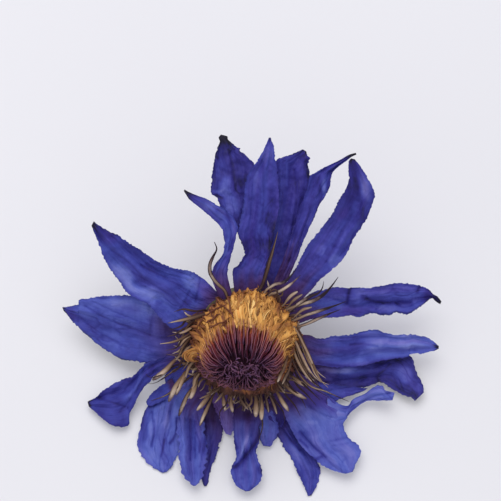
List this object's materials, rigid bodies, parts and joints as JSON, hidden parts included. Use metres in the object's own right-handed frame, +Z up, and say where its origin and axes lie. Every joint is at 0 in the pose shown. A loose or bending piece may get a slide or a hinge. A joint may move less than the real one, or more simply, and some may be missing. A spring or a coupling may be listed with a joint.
{
  "type": "dried blue lotus flower",
  "caption": "Dried blue water lily bloom on a short cut stalk, with splayed curled petals, a fan of gold stamens and a dark domed centre, leaning face up on a table.",
  "frame": {"origin": "middle of the stalk's flat cut, on the table the bloom rests on", "axes": "+Z up from the table, +Y towards the raised back petals, +X to the right as the bloom faces the viewer"},
  "size_m": [0.0818, 0.0721, 0.0349],
  "materials": {
    "petal": "matte, dried, purple at the root and near black at the tip",
    "sepal": "matte, blue inside and olive green outside",
    "receptacle": "matte, shrivelled olive brown",
    "outer_stamen": "satin gold to straw yellow with dark tips",
    "inner_stamen": "satin, gold at the foot to dark maroon at the tip"
  },
  "bodies": {
    "root": {"receptacle_and_stalk": "receptacle", "sepal_back": "sepal", "sepal_left": "sepal", "sepal_front": "sepal", "sepal_right": "sepal", "petal_back_1": "petal", "petal_back_2": "petal", "petal_back_3": "petal", "petal_back_4": "petal", "petal_back_5": "petal", "petal_right_1": "petal", "petal_right_2": "petal", "petal_front_1": "petal", "petal_front_2": "petal", "petal_front_3": "petal", "petal_front_4": "petal", "petal_front_5": "petal", "petal_left_1": "petal", "petal_left_2": "petal", "outer_stamens": "outer_stamen", "inner_stamens": "inner_stamen"}
  },
  "joints": []
}
